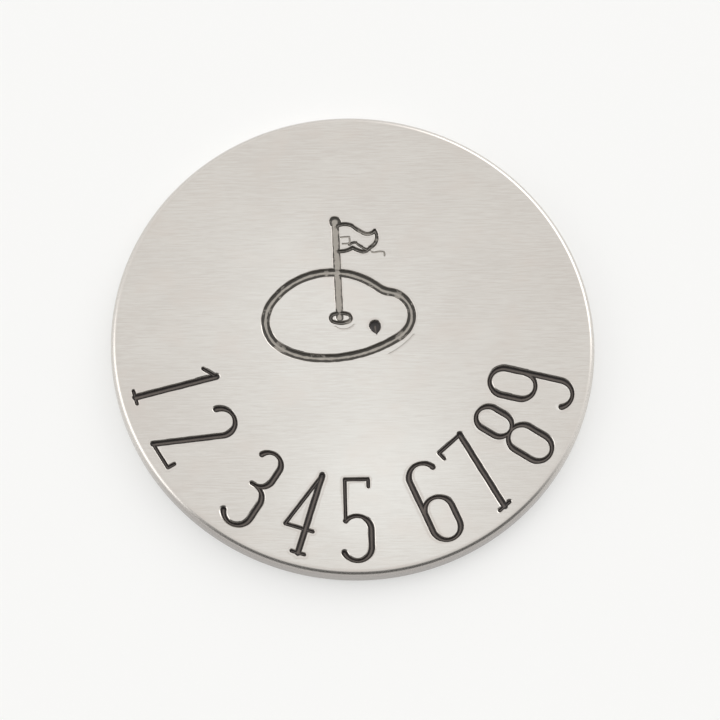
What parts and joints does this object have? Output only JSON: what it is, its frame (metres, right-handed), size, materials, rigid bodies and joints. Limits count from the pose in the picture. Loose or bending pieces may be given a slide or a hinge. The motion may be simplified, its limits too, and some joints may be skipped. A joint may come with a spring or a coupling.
{
  "type": "golf ball marker",
  "caption": "Flat round golf ball marker: a thin brushed steel disc, hand-stamped with a putting green, flag and ball and a curved row of digits, black enamel in the impressions.",
  "frame": {"origin": "centre of the disc's underside, on the disc's axis", "axes": "+Z along the disc's axis, out of the stamped face; +Y is the way up of the stamped picture"},
  "size_m": [0.0254, 0.0254, 0.001],
  "materials": {
    "brushed_steel": "stainless steel with a fine straight brushed grain and a tumbled edge",
    "black_enamel": "thin black stamping enamel, rubbed in and wiped off the face"
  },
  "bodies": {
    "root": {"marker_disc": "brushed_steel", "flag_and_green_enamel": "black_enamel", "ball_enamel": "black_enamel", "digit_1_enamel": "black_enamel", "digit_2_enamel": "black_enamel", "digit_3_enamel": "black_enamel", "digit_4_enamel": "black_enamel", "digit_5_enamel": "black_enamel", "digit_6_enamel": "black_enamel", "digit_7_enamel": "black_enamel", "digit_8_enamel": "black_enamel", "digit_9_enamel": "black_enamel"}
  },
  "joints": []
}
